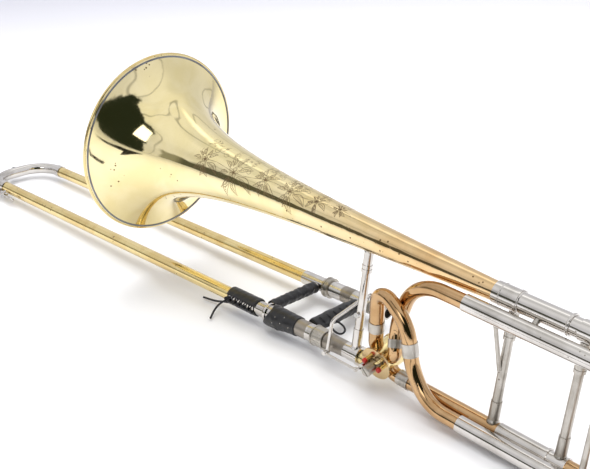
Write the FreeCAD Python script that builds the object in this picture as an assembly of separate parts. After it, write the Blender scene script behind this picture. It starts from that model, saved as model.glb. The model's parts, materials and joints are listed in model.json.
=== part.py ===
import FreeCAD, Part
import math
import os

V = FreeCAD.Vector

# ---------------------------------------------------------------- driving dimensions (mm, degrees)
# x runs along the instrument towards the player, y from the bell-side slide tube to the
# mouthpiece-side slide tube, z up.  x = 0 is the lock nut between slide and bell section.
SLIDE_SPACING = 94.0
BELL_LEAN = 4.75
# the bell section opens from the slide by this pitch, so the rim end stands higher
BELL_PITCH = 3.1
PITCH_X = 50.0
# laid down it stands on the rear crook, and on the slide bow once the slide is drawn right out
REST_PITCH = -0.49
BELL_AXIS_UP = 132.0

BELL_RIM_X = -286.0
BELL_TAIL_X = 207.0
BELL_RIM_R = 106.0
BELL_WALL = 0.7
RIM_WIRE_R = 2.0
# bell radius against the distance from the rim
BELL_PROFILE = [(0, 106.0), (4, 97.0), (12, 84.0), (24, 70.5), (40, 58.5), (60, 49.0), (85, 41.2),
                (115, 34.8), (150, 29.6), (190, 25.3), (235, 21.7), (290, 18.3), (350, 15.3),
                (410, 12.7), (455, 10.9), (493, 9.4)]

TUNE_BELL_OD = 19.6
TUNE_BELL_LEG_OD = 18.4
TUNE_GOOSE_OD = 16.6
TUNE_GOOSE_LEG_OD = 15.6
TUBE_WALL = 0.5
GOOSE_UP = 1.0
GOOSE_OD = 14.8
TUNE_OUT_START = 227.0
TUNE_OUT_END = 280.0
GOOSE_OUT_START = 230.0
GOOSE_OUT_END = 284.0
TUNE_CROOK_X = 322.0
TUNE_TRAVEL_GAP = 3.0

F_OFFSET = -18.0
F_UPPER_UP = 118.0
F_LOWER_UP = -1.0
F_TUBE_OD = 15.0
F_OUTER_OD = 17.0
F_LEG_OD = 15.4
F_UPPER_START = 182.0
F_LOWER_START = 198.0
F_OUTER_END = 316.0
F_BOW_X = 341.0

VALVE_X = 87.0
VALVE_UP = 13.0
VALVE_TILT = 17.0
CASING_R = 15.6
CASING_BORE_R = 13.4
CASING_FRONT = -11.0
CASING_BACK = 17.0
PLATE_R = 18.0
PLATE_T = 2.0
SPINDLE_R = 3.3

OUTER_OD = 15.5
OUTER_ID = 14.9
INNER_OD = 14.4
INNER_ID = 13.9
STOCKING_OD = 14.8
STOCKING_LEN = 115.0
OUTER_UPPER_X = -70.0
OUTER_LOWER_X = -645.0
INNER_LOWER_X = -637.0
BARREL_MOUTH_X = -80.0
BARREL_BASE_X = -14.0
BARREL_OD = 19.6
BARREL_ID = 18.0
BOW_FERRULE_LEN = 6.5
BOW_OD = 15.6
BOW_BEND = 38.0
BOW_ARC_X = OUTER_LOWER_X - BOW_FERRULE_LEN
OUTER_BRACE_X = -90.0
INNER_BRACE_X = -24.0
SOCKET_R = 6.4
FIT = 0.05

os.makedirs("parts", exist_ok=True)


# ---------------------------------------------------------------- shape helpers
def rod(start, end, radius):
    start = V(*start)
    way = V(*end) - start
    return Part.makeCylinder(radius, way.Length, start, way)


def hollow(start, end, outer_r, inner_r):
    start = V(*start)
    way = V(*end) - start
    spare = way.normalize() * 1.0
    way = V(*end) - start
    core = Part.makeCylinder(inner_r, way.Length + 2.0, start - spare, way)
    return Part.makeCylinder(outer_r, way.Length, start, way).cut(core)


def cone_tube(start, end, radii_out, radii_in):
    start = V(*start)
    way = V(*end) - start
    shell = Part.makeCone(radii_out[0], radii_out[1], way.Length, start, way)
    return shell.cut(Part.makeCone(radii_in[0], radii_in[1], way.Length, start, way))


def turned(points, base, axis):
    """Solid of revolution: points are (distance along axis, radius), closed in order."""
    wire = Part.makePolygon([V(r, 0, d) for d, r in points + points[:1]])
    solid = Part.Face(wire).revolve(V(0, 0, 0), V(0, 0, 1), 360)
    solid.Placement = FreeCAD.Placement(V(*base), FreeCAD.Rotation(V(0, 0, 1), V(*axis)))
    return solid


def ring_face(centre, normal, outer_r, inner_r):
    outer = Part.Face(Part.Wire(Part.makeCircle(outer_r, centre, normal)))
    if inner_r <= 0:
        return outer
    return outer.cut(Part.Face(Part.Wire(Part.makeCircle(inner_r, centre, normal))))


def route_pieces(points, bends):
    """Straight runs and tangent arcs of a bent tube, as a list of ("run"|"arc", data)."""
    points = [V(*p) for p in points]
    pieces = []
    at = points[0]
    for i, bend in enumerate(bends):
        corner = points[i + 1]
        back = (points[i] - corner).normalize()
        ahead = (points[i + 2] - corner).normalize()
        half = math.acos(max(-1.0, min(1.0, back.dot(ahead)))) / 2.0
        reach = bend / math.tan(half)
        begin = corner + back * reach
        finish = corner + ahead * reach
        middle = corner + (back + ahead).normalize() * (bend / math.sin(half))
        pieces.append(("run", (at, begin)))
        pieces.append(("arc", (begin, finish, middle, back * -1.0, 180.0 - math.degrees(2 * half))))
        at = finish
    pieces.append(("run", (at, points[-1])))
    return pieces


def pipe(points, bends, outer_r, inner_r=0.0):
    solids = []
    for kind, data in route_pieces(points, bends):
        if kind == "run":
            way = data[1] - data[0]
            if way.Length > 0.001:
                solids.append(ring_face(data[0], way, outer_r, inner_r).extrude(way))
        else:
            begin, finish, middle, heading, turn = data
            axis = (begin - middle).cross(heading)
            solids.append(ring_face(begin, heading, outer_r, inner_r).revolve(middle, axis, turn))
    whole = solids[0]
    if len(solids) > 1:
        whole = solids[0].multiFuse(solids[1:]).removeSplitter()
    return whole


def band(start, length, bore_r, wall, lip=0.0, lip_len=1.6):
    """Ferrule or sleeve on a tube that runs along x; a lip is a raised ring at its far end."""
    x, y, z = start
    shell = hollow((x, y, z), (x + length, y, z), bore_r + wall, bore_r)
    if lip > 0:
        shell = shell.fuse(hollow((x + length - lip_len, y, z), (x + length, y, z),
                                  bore_r + wall + lip, bore_r))
        shell = shell.removeSplitter()
    return shell


def leaned(shape):
    """The bell section stands on the slide at a small lean about the bell-side slide tube."""
    shape = shape.copy()
    shape.rotate(V(PITCH_X, 0, 0), V(0, 1, 0), BELL_PITCH)
    shape.rotate(V(0, 0, 0), V(1, 0, 0), -BELL_LEAN)
    return shape


def group(shapes):
    return Part.makeCompound(shapes)


# ---------------------------------------------------------------- bell
def bell():
    outer = [V(BELL_RIM_X + d, r, 0) for d, r in BELL_PROFILE]
    inner = [V(BELL_RIM_X + d, r - BELL_WALL, 0) for d, r in BELL_PROFILE]
    skin = Part.BSplineCurve()
    skin.interpolate(outer)
    lining = Part.BSplineCurve()
    lining.interpolate(inner)
    edges = [skin.toShape(), Part.makeLine(outer[-1], inner[-1]), lining.toShape(),
             Part.makeLine(inner[0], outer[0])]
    face = Part.Face(Part.Wire(Part.__sortEdges__(edges)))
    shell = face.revolve(V(0, 0, 0), V(1, 0, 0), 360)
    shell.translate(V(0, 0, BELL_AXIS_UP))
    return Part.Solid(Part.Shell(shell.Faces)) if not shell.Solids else shell


def rim_wire():
    ring = Part.makeTorus(BELL_RIM_R, RIM_WIRE_R, V(0, 0, 0), V(1, 0, 0))
    ring.translate(V(BELL_RIM_X - RIM_WIRE_R - FIT, 0, BELL_AXIS_UP))
    return ring


def bell_ferrule():
    x = BELL_TAIL_X - 6.0
    bore = BELL_PROFILE[-1][1] + 0.75
    skirt = hollow((x, 0, BELL_AXIS_UP), (TUNE_OUT_START, 0, BELL_AXIS_UP), bore + 0.7, bore)
    ring = hollow((TUNE_OUT_START - 2.2, 0, BELL_AXIS_UP), (TUNE_OUT_START, 0, BELL_AXIS_UP),
                  bore + 1.3, bore)
    return skirt.fuse(ring).removeSplitter()


# ---------------------------------------------------------------- tuning tubes of the bell section
def tuning_outer(start, end, up, outer_d):
    tube = hollow((start, 0, up), (end, 0, up), outer_d / 2, outer_d / 2 - TUBE_WALL + 0.05)
    ring = hollow((end - 2.2, 0, up), (end, 0, up), outer_d / 2 + 0.8, outer_d / 2 - 0.2)
    return tube.fuse(ring).removeSplitter()


def gooseneck():
    tube = pipe([(VALVE_X, 0, VALVE_UP), (VALVE_X + 16, 0, GOOSE_UP), (GOOSE_OUT_START, 0, GOOSE_UP)],
                [11.0], GOOSE_OD / 2, GOOSE_OD / 2 - TUBE_WALL)
    return clear_of_casing(tube)


def gooseneck_ferrules():
    near = band((110.0, 0, GOOSE_UP), 14.0, GOOSE_OD / 2 + FIT, 0.7, 0.4)
    return near


# ---------------------------------------------------------------- rotary valve, in the leaning frame
def valve_axis():
    tilt = math.radians(VALVE_TILT)
    return V(0, math.cos(tilt), math.sin(tilt))


def on_valve(distance, right=0.0, up=0.0):
    tilt = math.radians(VALVE_TILT)
    side = V(0, -math.sin(tilt), math.cos(tilt))
    return V(VALVE_X, 0, VALVE_UP) + valve_axis() * distance + V(right, 0, 0) + side * up


def valve_disc(near, far, radius, hole=0.0):
    solid = Part.makeCylinder(radius, far - near, on_valve(near), valve_axis())
    if hole > 0:
        solid = solid.cut(Part.makeCylinder(hole, far - near + 2, on_valve(near - 1), valve_axis()))
    return solid


def clear_of_casing(tube):
    return tube.cut(valve_disc(CASING_FRONT - PLATE_T, CASING_BACK + 4, CASING_R + FIT))


def port_bores():
    centre = (VALVE_X, 0, VALVE_UP)
    bore = INNER_ID / 2
    return [rod(centre, (VALVE_X - 20, 0, VALVE_UP - 14.4), bore),
            rod(centre, (VALVE_X + 20, 0, VALVE_UP - 15.0), bore),
            rod(centre, (VALVE_X - 15, -6, VALVE_UP + 19.5), bore),
            rod(centre, (VALVE_X + 27, -9, VALVE_UP + 16.5), bore)]


def valve_casing():
    shell = valve_disc(CASING_FRONT, CASING_BACK, CASING_R, CASING_BORE_R)
    return shell.cut(group(port_bores()))


def valve_front_plate():
    plate = valve_disc(CASING_FRONT - PLATE_T, CASING_FRONT, PLATE_R, SPINDLE_R)
    return plate


def valve_back_cap():
    cap = valve_disc(CASING_BACK, CASING_BACK + 3.0, CASING_R + 0.8)
    return cap.fuse(valve_disc(CASING_BACK + 3.0, CASING_BACK + 4.2, CASING_R - 3.0)).removeSplitter()


def valve_back_bearing():
    return valve_disc(CASING_BACK - 3.0, CASING_BACK - FIT, CASING_BORE_R - FIT, SPINDLE_R)


def rotor():
    body = valve_disc(CASING_FRONT + 0.1, CASING_BACK - 3.1, CASING_BORE_R - FIT)
    middle = tuple(on_valve(0, 0, -6.0))
    way_low = rod(tuple(on_valve(0, -17, -14.0)), middle, 6.0).fuse(
        rod(tuple(on_valve(0, 17, -14.0)), middle, 6.0))
    way_high = rod(tuple(on_valve(0, -15, 17.0)), tuple(on_valve(0, -4, 6.0)), 5.0)
    body = body.cut(group([way_low, way_high]))
    spindle = valve_disc(ARM_NEAR + 0.2, CASING_FRONT + 0.5, SPINDLE_R - FIT)
    tail = valve_disc(CASING_BACK - 3.5, CASING_BACK - 0.3, SPINDLE_R - FIT)
    return body.fuse([spindle, tail]).removeSplitter()


ARM_NEAR = CASING_FRONT - PLATE_T - 4.6
ARM_FAR = CASING_FRONT - PLATE_T - 0.6
ARM_PIVOT = (-10.2, -4.2)
STOP_LUG_ANGLE = 35.0
BUMPER_ANGLES = (6.5, 153.5)
BUMPER_RING_R = 9.5


def stop_arm():
    mid = (ARM_NEAR + ARM_FAR) / 2.0
    hub = valve_disc(ARM_NEAR, ARM_FAR, 4.6)
    eye = Part.makeCylinder(3.6, ARM_FAR - ARM_NEAR, on_valve(ARM_NEAR, *ARM_PIVOT), valve_axis())
    bridge = rod(tuple(on_valve(mid)), tuple(on_valve(mid, *ARM_PIVOT)), 1.9)
    a = math.radians(STOP_LUG_ANGLE)
    lug = rod(tuple(on_valve(mid)), tuple(on_valve(mid, 10.0 * math.cos(a), 10.0 * math.sin(a))), 1.7)
    arm = hub.fuse([eye, bridge, lug])
    spindle_hole = valve_disc(ARM_NEAR - 1.0, ARM_FAR + 1.0, SPINDLE_R)
    return arm.cut(spindle_hole).removeSplitter()


def stop_arm_screw():
    head = valve_disc(ARM_NEAR - 2.2, ARM_NEAR - FIT, 3.4)
    slot = rod(tuple(on_valve(ARM_NEAR - 2.2, -4, 0)), tuple(on_valve(ARM_NEAR - 2.2, 4, 0)), 0.5)
    return head.cut(slot)


def bumper_spots():
    spots = []
    for angle in BUMPER_ANGLES:
        a = math.radians(angle)
        spots.append((BUMPER_RING_R * math.cos(a), BUMPER_RING_R * math.sin(a)))
    return spots


def stop_plate():
    near = CASING_FRONT - PLATE_T - 4.6
    far = CASING_FRONT - PLATE_T
    holders = []
    for right, up in bumper_spots():
        cup = Part.makeCylinder(2.4, far - near, on_valve(near, right, up), valve_axis())
        core = Part.makeCylinder(1.85, far - near + 2, on_valve(near - 1.0, right, up), valve_axis())
        holders.append(cup.cut(core))
    return group(holders)


def stop_bumpers():
    near = CASING_FRONT - PLATE_T - 6.0
    far = CASING_FRONT - PLATE_T - FIT
    return group([Part.makeCylinder(1.8, far - near, on_valve(near, right, up), valve_axis())
                  for right, up in bumper_spots()])


# ---------------------------------------------------------------- F attachment tubes
F_LOOP = [(VALVE_X, 0, VALVE_UP), (77.0, -4.0, 26.0), (83.2, -21.5, 99.9), (125.2, -21.5, 71.9),
          (136.0, F_OFFSET, 28.0), (160.0, F_OFFSET, F_LOWER_UP),
          (F_LOWER_START + 8, F_OFFSET, F_LOWER_UP)]
F_LOOP_BENDS = [9.0, 14.0, 45.0, 60.0, 45.0]
F_CROOK = [(F_UPPER_START + 8, F_OFFSET, F_UPPER_UP), (F_UPPER_START - 4, F_OFFSET, F_UPPER_UP),
           (120.9, -14.0, 115.8),
           (95.8, 1.5, 54.4), (105.0, -6.0, 24.0), (VALVE_X, 0, VALVE_UP)]
F_CROOK_BENDS = [80.0, 54.0, 34.0, 10.0]


def f_loop():
    return clear_of_casing(pipe(F_LOOP, F_LOOP_BENDS, F_TUBE_OD / 2, F_TUBE_OD / 2 - TUBE_WALL))


def f_crook():
    tube = pipe(F_CROOK, F_CROOK_BENDS, F_TUBE_OD / 2, F_TUBE_OD / 2 - TUBE_WALL)
    return clear_of_casing(tube).cut(pipe(F_LOOP[:3], F_LOOP_BENDS[:1], F_TUBE_OD / 2 + FIT))


def sleeve_between(a, b, near, far, bore_r, wall):
    """Sleeve on the straight run from a to b, between two distances from a."""
    a = V(*a)
    way = (V(*b) - a).normalize()
    return hollow(tuple(a + way * near), tuple(a + way * far), bore_r + wall, bore_r)


def f_ferrules():
    bore = F_TUBE_OD / 2 + FIT
    return group([sleeve_between(F_LOOP[1], F_LOOP[2], 17.0, 29.0, bore, 0.7),
                  sleeve_between(F_LOOP[3], F_LOOP[4], 17.5, 31.5, bore, 0.7),
                  sleeve_between(F_CROOK[3], F_CROOK[4], 15.2, 23.8, bore, 0.7)])


def f_outer(start, up):
    return hollow((start, F_OFFSET, up), (F_OUTER_END, F_OFFSET, up), F_OUTER_OD / 2,
                  F_LEG_OD / 2 + FIT)


# ---------------------------------------------------------------- braces
def brace(x, y, low, high, saddle_low, saddle_high):
    """Upright stay: wide lower socket, thinner rod, double ring and spreading foot at each end."""
    socket_top = 29.6
    base = (x, y, 0)
    points = [(low, 0), (low, saddle_low), (low + 2.0, saddle_low), (low + 4.0, 5.3),
              (socket_top, 5.3), (socket_top, 4.6), (socket_top + 1.0, 4.6), (93.5, 4.4), (93.5, 5.6),
              (96.8, 5.6), (96.8, 5.0), (98.0, 5.0), (98.0, 5.6), (101.3, 5.6), (101.3, 4.9),
              (high - 4.0, 4.9), (high - 1.5, saddle_high), (high, saddle_high), (high, 0)]
    return turned(points, base, (0, 0, 1))


def bell_brace():
    post = brace(50.0, 0, 6.0, 119.0, 6.6, 6.4)
    post = post.cut(rod((0, 0, 0), (70, 0, 0), 9.75))
    room = []
    for (d0, r0), (d1, r1) in zip(BELL_PROFILE, BELL_PROFILE[1:]):
        room.append(Part.makeCone(r0 + 0.12, r1 + 0.12, d1 - d0,
                                  V(BELL_RIM_X + d0, 0, BELL_AXIS_UP), V(1, 0, 0)))
    post = post.cut(group(room[10:13]))
    return post


def bell_brace_screw():
    boss = rod((50.0, -4.5, 46.0), (50.0, -7.4, 46.0), 2.9)
    boss = boss.cut(rod((50, -7.4, 49.5), (50, -7.4, 42.5), 0.45))
    return boss.cut(rod((50.0, 0, 30.0), (50.0, 0, 90.0), 4.6))


def tuning_stay():
    stay = brace(222.0, 0, 6.5, 126.0, 6.2, 6.2)
    stay = stay.cut(rod((200, 0, GOOSE_UP), (250, 0, GOOSE_UP), GOOSE_OD / 2 + FIT))
    return stay.cut(rod((190, 0, BELL_AXIS_UP), (250, 0, BELL_AXIS_UP),
                        BELL_PROFILE[-1][1] + 0.75 + 1.3 + FIT))


def f_stays():
    thin = rod((215.0, F_OFFSET + 1.5, 111.0), (221.0, -4.6, 62.0), 2.0)
    foot = Part.makeCone(4.2, 2.1, 10.0, V(214.5, F_OFFSET + 1.2, 115.0), V(1.2, 2.5, -9.8))
    thin = thin.fuse(foot)
    thin = thin.cut(rod((180, F_OFFSET, F_UPPER_UP), (250, F_OFFSET, F_UPPER_UP),
                        F_OUTER_OD / 2 + FIT))
    return thin.cut(rod((222.0, 0, 20.0), (222.0, 0, 100.0), 4.75)).removeSplitter()


def cross_stay(x, upper=True):
    """Short stay that ties an F tube to its neighbour of the main tubing."""
    if upper:
        start = (x, 0, BELL_AXIS_UP)
        end = (x, F_OFFSET, F_UPPER_UP)
        cut_a = TUNE_BELL_OD / 2 + FIT
    else:
        start = (x, 0, GOOSE_UP)
        end = (x, F_OFFSET, F_LOWER_UP)
        cut_a = TUNE_GOOSE_OD / 2 + FIT
    bar = rod(start, end, 3.0)
    bar = bar.cut(rod((x - 9, start[1], start[2]), (x + 9, start[1], start[2]), cut_a))
    return bar.cut(rod((x - 9, end[1], end[2]), (x + 9, end[1], end[2]), F_OUTER_OD / 2 + FIT))


def cross_stays():
    return group([cross_stay(250.0, True), cross_stay(250.0, False)])


# ---------------------------------------------------------------- slide receiver and thumb lever
def slide_receiver():
    flare = cone_tube((10.5, 0, 0), (24.0, 0, 0), (9.6, 8.9), (8.1, 7.75))
    body = cone_tube((24.0, 0, 0), (44.0, 0, 0), (8.9, 8.6), (7.75, 7.3))
    sleeve = hollow((44.0, 0, 0), (56.0, 0, 0), 9.3, 7.3)
    flange = hollow((56.0, 0, 0), (58.5, 0, 0), 10.4, 7.3)
    return flare.fuse([body, sleeve, flange]).removeSplitter()


def receiver_knuckle():
    tube = pipe([(59.1, 0, 0), (67.0, 0, 0), (VALVE_X, 0, VALVE_UP)], [9.0], GOOSE_OD / 2,
                GOOSE_OD / 2 - TUBE_WALL)
    return clear_of_casing(tube)


LEVER_PIVOT = (50.0, 8.4, 61.0)
LEVER_FOOT = (24.0, -15.0, -5.0)
LEVER_WIRE = [(49.0, 8.4, 60.5), (41.5, 3.2, 55.0), (22.5, -11.0, 30.0), LEVER_FOOT]
LEVER_WIRE_R = 1.9
HINGE_PIN_R = 1.0
LINK_HEAD_R = 4.6


def lever_hinge():
    x, y, z = LEVER_PIVOT
    ears = []
    for low, high in ((4.9, 5.9), (10.5, 11.8)):
        ear = rod((x, low, z), (x, high, z), 1.9)
        ears.append(ear)
    bridge = rod((x, 5.6, z + 3.6), (x, 11.8, z + 3.6), 1.3)
    post_side = rod((x, 5.0, z + 3.6), (x, 6.3, z + 3.6), 2.0)
    yoke = ears[0].fuse([ears[1], bridge, post_side])
    outer = rod((x, 10.5, z + 3.6), (x, 11.8, z + 3.6), 2.0)
    yoke = yoke.fuse(outer).cut(rod((x, 0, 30.0), (x, 0, 90.0), 4.62))
    return yoke.cut(rod((x, 4.0, z), (x, 14.0, z), HINGE_PIN_R + FIT)).removeSplitter()


def lever_hinge_screw():
    x, y, z = LEVER_PIVOT
    head = rod((x, 11.85, z), (x, 13.0, z), 2.3)
    return rod((x, 5.05, z), (x, 12.0, z), HINGE_PIN_R).fuse(head).removeSplitter()


def thumb_lever():
    x, y, z = LEVER_PIVOT
    wire = pipe(LEVER_WIRE, [8.0, 14.0], LEVER_WIRE_R)
    hub = rod((x, 6.4, z), (x, 10.4, z), 2.3)
    foot_x, foot_y, foot_z = LEVER_FOOT
    eye = rod((foot_x, foot_y - 1.9, foot_z), (foot_x, foot_y + 1.9, foot_z), 2.6)
    solid = wire.fuse([hub, eye])
    solid = solid.cut(rod((foot_x, foot_y - 5, foot_z), (foot_x, foot_y + 5, foot_z),
                          HINGE_PIN_R + FIT))
    return solid.cut(rod((x, 0, z), (x, 20, z), HINGE_PIN_R + FIT)).removeSplitter()


def link_rod():
    """Rod with a pin at the lever's foot and, past a ball, a slotted round head over the stop arm."""
    foot_x, foot_y, foot_z = LEVER_FOOT
    start = V(foot_x, foot_y - 4.0, foot_z)
    ball = V(69.0, -20.5, -3.0)
    head_near = ARM_NEAR - 5.2
    head_far = ARM_NEAR - 0.4
    head = Part.makeCylinder(LINK_HEAD_R, head_far - head_near, on_valve(head_near, *ARM_PIVOT),
                             valve_axis())
    centre = on_valve((head_near + head_far) / 2.0, *ARM_PIVOT)
    bar = Part.makeCylinder(1.35, (ball - start).Length, start, ball - start)
    neck = Part.makeCylinder(1.5, (centre - ball).Length, ball, centre - ball)
    boss = rod((foot_x, foot_y - 5.8, foot_z), (foot_x, foot_y - 2.2, foot_z), 2.4)
    pin = rod((foot_x, foot_y - 3.0, foot_z), (foot_x, foot_y + 1.8, foot_z), HINGE_PIN_R)
    link = bar.fuse([Part.makeSphere(2.4, ball), neck, head, boss, pin])
    slot = rod(tuple(on_valve(head_near, ARM_PIVOT[0] - 6.5, ARM_PIVOT[1] - 4.5)),
               tuple(on_valve(head_near, ARM_PIVOT[0] + 6.5, ARM_PIVOT[1] + 4.5)), 0.8)
    return link.cut(slot).removeSplitter()


# ---------------------------------------------------------------- main tuning slide
def crook(start_x, low, high, y, outer_r, inner_r):
    rise = (high - low) / 2.0
    points = [(start_x, y, low), (TUNE_CROOK_X + rise, y, low), (TUNE_CROOK_X + rise, y, high),
              (start_x, y, high)]
    return pipe(points, [rise - 0.01, rise - 0.01], outer_r, inner_r)


def tuning_legs(up, leg_od, outer_end):
    return hollow((outer_end - 44.0, 0, up), (300.0, 0, up), leg_od / 2, leg_od / 2 - 0.45)


def tuning_crook():
    return crook(300.3, GOOSE_UP, BELL_AXIS_UP, 0, 7.9, 7.4)


def tuning_crook_ferrules():
    low = band((289.0, 0, GOOSE_UP), 14.0, TUNE_GOOSE_LEG_OD / 2 + 0.15, 0.8, 0.5)
    high = band((289.0, 0, BELL_AXIS_UP), 14.0, TUNE_BELL_LEG_OD / 2 + 0.15, 0.8, 0.5)
    return group([low, high])


def tuning_slide_stay():
    stay = brace(294.5, 0, 7.0, 125.0, 6.0, 6.0)
    stay = stay.cut(rod((270, 0, GOOSE_UP), (320, 0, GOOSE_UP), TUNE_GOOSE_LEG_OD / 2 + 1.5))
    return stay.cut(rod((270, 0, BELL_AXIS_UP), (320, 0, BELL_AXIS_UP),
                        TUNE_BELL_LEG_OD / 2 + 1.5))


# ---------------------------------------------------------------- F tuning slide
def f_leg(up):
    return hollow((F_OUTER_END - 84.0, F_OFFSET, up), (F_BOW_X - 12.0, F_OFFSET, up),
                  F_LEG_OD / 2, F_LEG_OD / 2 - 0.45)


def f_bow():
    rise = (F_UPPER_UP - F_LOWER_UP) / 2.0
    x = F_BOW_X - 11.8
    points = [(x, F_OFFSET, F_LOWER_UP), (F_BOW_X + rise, F_OFFSET, F_LOWER_UP),
              (F_BOW_X + rise, F_OFFSET, F_UPPER_UP), (x, F_OFFSET, F_UPPER_UP)]
    return pipe(points, [rise - 0.01, rise - 0.01], 7.2, 6.7)


def f_bow_ferrules():
    bore = F_LEG_OD / 2 + 0.15
    return group([band((F_OUTER_END + 2.0, F_OFFSET, up), 15.0, bore, 0.7, 0.2)
                  for up in (F_LOWER_UP, F_UPPER_UP)])


def f_slide_stay():
    x = F_OUTER_END + 9.0
    low = F_LOWER_UP + F_LEG_OD / 2 + 0.9
    high = F_UPPER_UP - F_LEG_OD / 2 - 0.9
    points = [(low, 0), (low, 5.2), (low + 1.5, 5.0), (low + 5.0, 3.4), (low + 9.0, 2.9),
              (high - 9.0, 2.9), (high - 5.0, 3.4), (high - 1.5, 5.0), (high, 5.2), (high, 0)]
    stay = turned(points, (x, F_OFFSET, 0), (0, 0, 1))
    for up in (F_LOWER_UP, F_UPPER_UP):
        stay = stay.cut(rod((x - 12, F_OFFSET, up), (x + 12, F_OFFSET, up), F_LEG_OD / 2 + 1.5))
    return stay


# ---------------------------------------------------------------- inner slide
def inner_tube(y):
    tube = hollow((INNER_LOWER_X + STOCKING_LEN, y, 0), (BARREL_BASE_X, y, 0), INNER_OD / 2,
                  INNER_ID / 2)
    stocking = hollow((INNER_LOWER_X, y, 0), (INNER_LOWER_X + STOCKING_LEN, y, 0), STOCKING_OD / 2,
                      INNER_ID / 2)
    return tube.fuse(stocking).removeSplitter()


def barrel(y):
    cup = hollow((BARREL_MOUTH_X + 3, y, 0), (BARREL_BASE_X, y, 0), BARREL_OD / 2, BARREL_ID / 2)
    mouth = hollow((BARREL_MOUTH_X, y, 0), (BARREL_MOUTH_X + 3, y, 0), 11.4, BARREL_ID / 2)
    base = hollow((BARREL_BASE_X - 12, y, 0), (BARREL_BASE_X, y, 0), BARREL_OD / 2,
                  INNER_OD / 2 + 0.02)
    return cup.fuse([mouth, base]).removeSplitter()


def barrel_bumpers():
    x = OUTER_UPPER_X + 0.4
    return group([hollow((x, y, 0), (x + 6.0, y, 0), BARREL_ID / 2 - 0.05, INNER_OD / 2 + 0.1)
                  for y in (0, SLIDE_SPACING)])


def inner_brace():
    bar = rod((INNER_BRACE_X, 0, 0), (INNER_BRACE_X, SLIDE_SPACING, 0), 4.5)
    for y in (0, SLIDE_SPACING):
        bar = bar.cut(rod((INNER_BRACE_X - 15, y, 0), (INNER_BRACE_X + 15, y, 0),
                          BARREL_OD / 2 + FIT))
    return bar


def inner_brace_wrap():
    return hollow((INNER_BRACE_X, 12.2, 0), (INNER_BRACE_X, SLIDE_SPACING - 11.2, 0), 7.2, 4.6)


def barrel_sleeve():
    return hollow((BARREL_MOUTH_X + 5.0, 0, 0), (-33.0, 0, 0), 11.2, BARREL_OD / 2 + 0.1)


def tenon():
    collar = hollow((BARREL_BASE_X + 0.1, 0, 0), (-8.0, 0, 0), 9.9, 6.95)
    neck = hollow((-8.0, 0, 0), (11.0, 0, 0), 8.0, 6.95)
    taper = cone_tube((11.0, 0, 0), (40.0, 0, 0), (7.98, 7.28), (6.95, 6.5))
    return collar.fuse([neck, taper]).removeSplitter()


def lock_nut():
    shell = hollow((-7.5, 0, 0), (10.0, 0, 0), 10.9, 8.05)
    grooves = []
    for i in range(24):
        a = math.radians(15.0 * i)
        y = 11.2 * math.cos(a)
        z = 11.2 * math.sin(a)
        grooves.append(rod((-5.5, y, z), (8.0, y, z), 0.75))
    return shell.cut(group(grooves))


def mouthpiece_receiver():
    y = SLIDE_SPACING
    collar = hollow((BARREL_BASE_X + 0.1, y, 0), (-9.0, y, 0), 9.9, 6.0)
    body = cone_tube((-9.0, y, 0), (4.0, y, 0), (8.6, 7.6), (6.0, SOCKET_R))
    entry = hollow((4.0, y, 0), (11.0, y, 0), 7.6, SOCKET_R)
    lip = hollow((11.0, y, 0), (14.0, y, 0), 8.3, SOCKET_R)
    return collar.fuse([body, entry, lip]).removeSplitter()


def leadpipe():
    y = SLIDE_SPACING
    bore = Part.makeCone(6.6, 5.9, 166.0, V(-180.0, y, 0), V(1, 0, 0))
    return rod((-180.0, y, 0), (BARREL_BASE_X, y, 0), INNER_ID / 2 - 0.03).cut(bore)


# ---------------------------------------------------------------- outer slide
def outer_tube(y):
    return hollow((OUTER_LOWER_X, y, 0), (OUTER_UPPER_X, y, 0), OUTER_OD / 2, OUTER_ID / 2)


def outer_sleeves():
    sleeves = []
    for y, start in ((0, -112.0), (SLIDE_SPACING, -116.0)):
        sleeves.append(hollow((start, y, 0), (OUTER_UPPER_X - 13.0, y, 0), OUTER_OD / 2 + 0.9,
                              OUTER_OD / 2 + 0.02))
    return group(sleeves)


def outer_brace():
    bar = rod((OUTER_BRACE_X, 0, 0), (OUTER_BRACE_X, SLIDE_SPACING, 0), 3.8)
    for y in (0, SLIDE_SPACING):
        bar = bar.cut(rod((OUTER_BRACE_X - 9, y, 0), (OUTER_BRACE_X + 9, y, 0),
                          OUTER_OD / 2 + 0.95))
    return bar


def outer_brace_wrap():
    return hollow((OUTER_BRACE_X, 12.5, 0), (OUTER_BRACE_X, SLIDE_SPACING - 10.5, 0), 5.8, 3.9)


def slide_leather():
    return hollow((-142.0, 0, 0), (-97.5, 0, 0), 10.6, OUTER_OD / 2 + 1.0)


def bow():
    x = OUTER_LOWER_X - FIT
    points = [(x, 0, 0), (BOW_ARC_X - BOW_BEND, 0, 0), (BOW_ARC_X - BOW_BEND, SLIDE_SPACING, 0),
              (x, SLIDE_SPACING, 0)]
    return pipe(points, [BOW_BEND, BOW_BEND], BOW_OD / 2, BOW_OD / 2 - 0.6)


def bow_ferrules():
    x = OUTER_LOWER_X - BOW_FERRULE_LEN
    return group([hollow((x, y, 0), (OUTER_LOWER_X + 4.0, y, 0), BOW_OD / 2 + 0.9,
                         BOW_OD / 2 + 0.02) for y in (0, SLIDE_SPACING)])


def bow_end_x():
    return BOW_ARC_X - BOW_BEND - BOW_OD / 2


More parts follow.
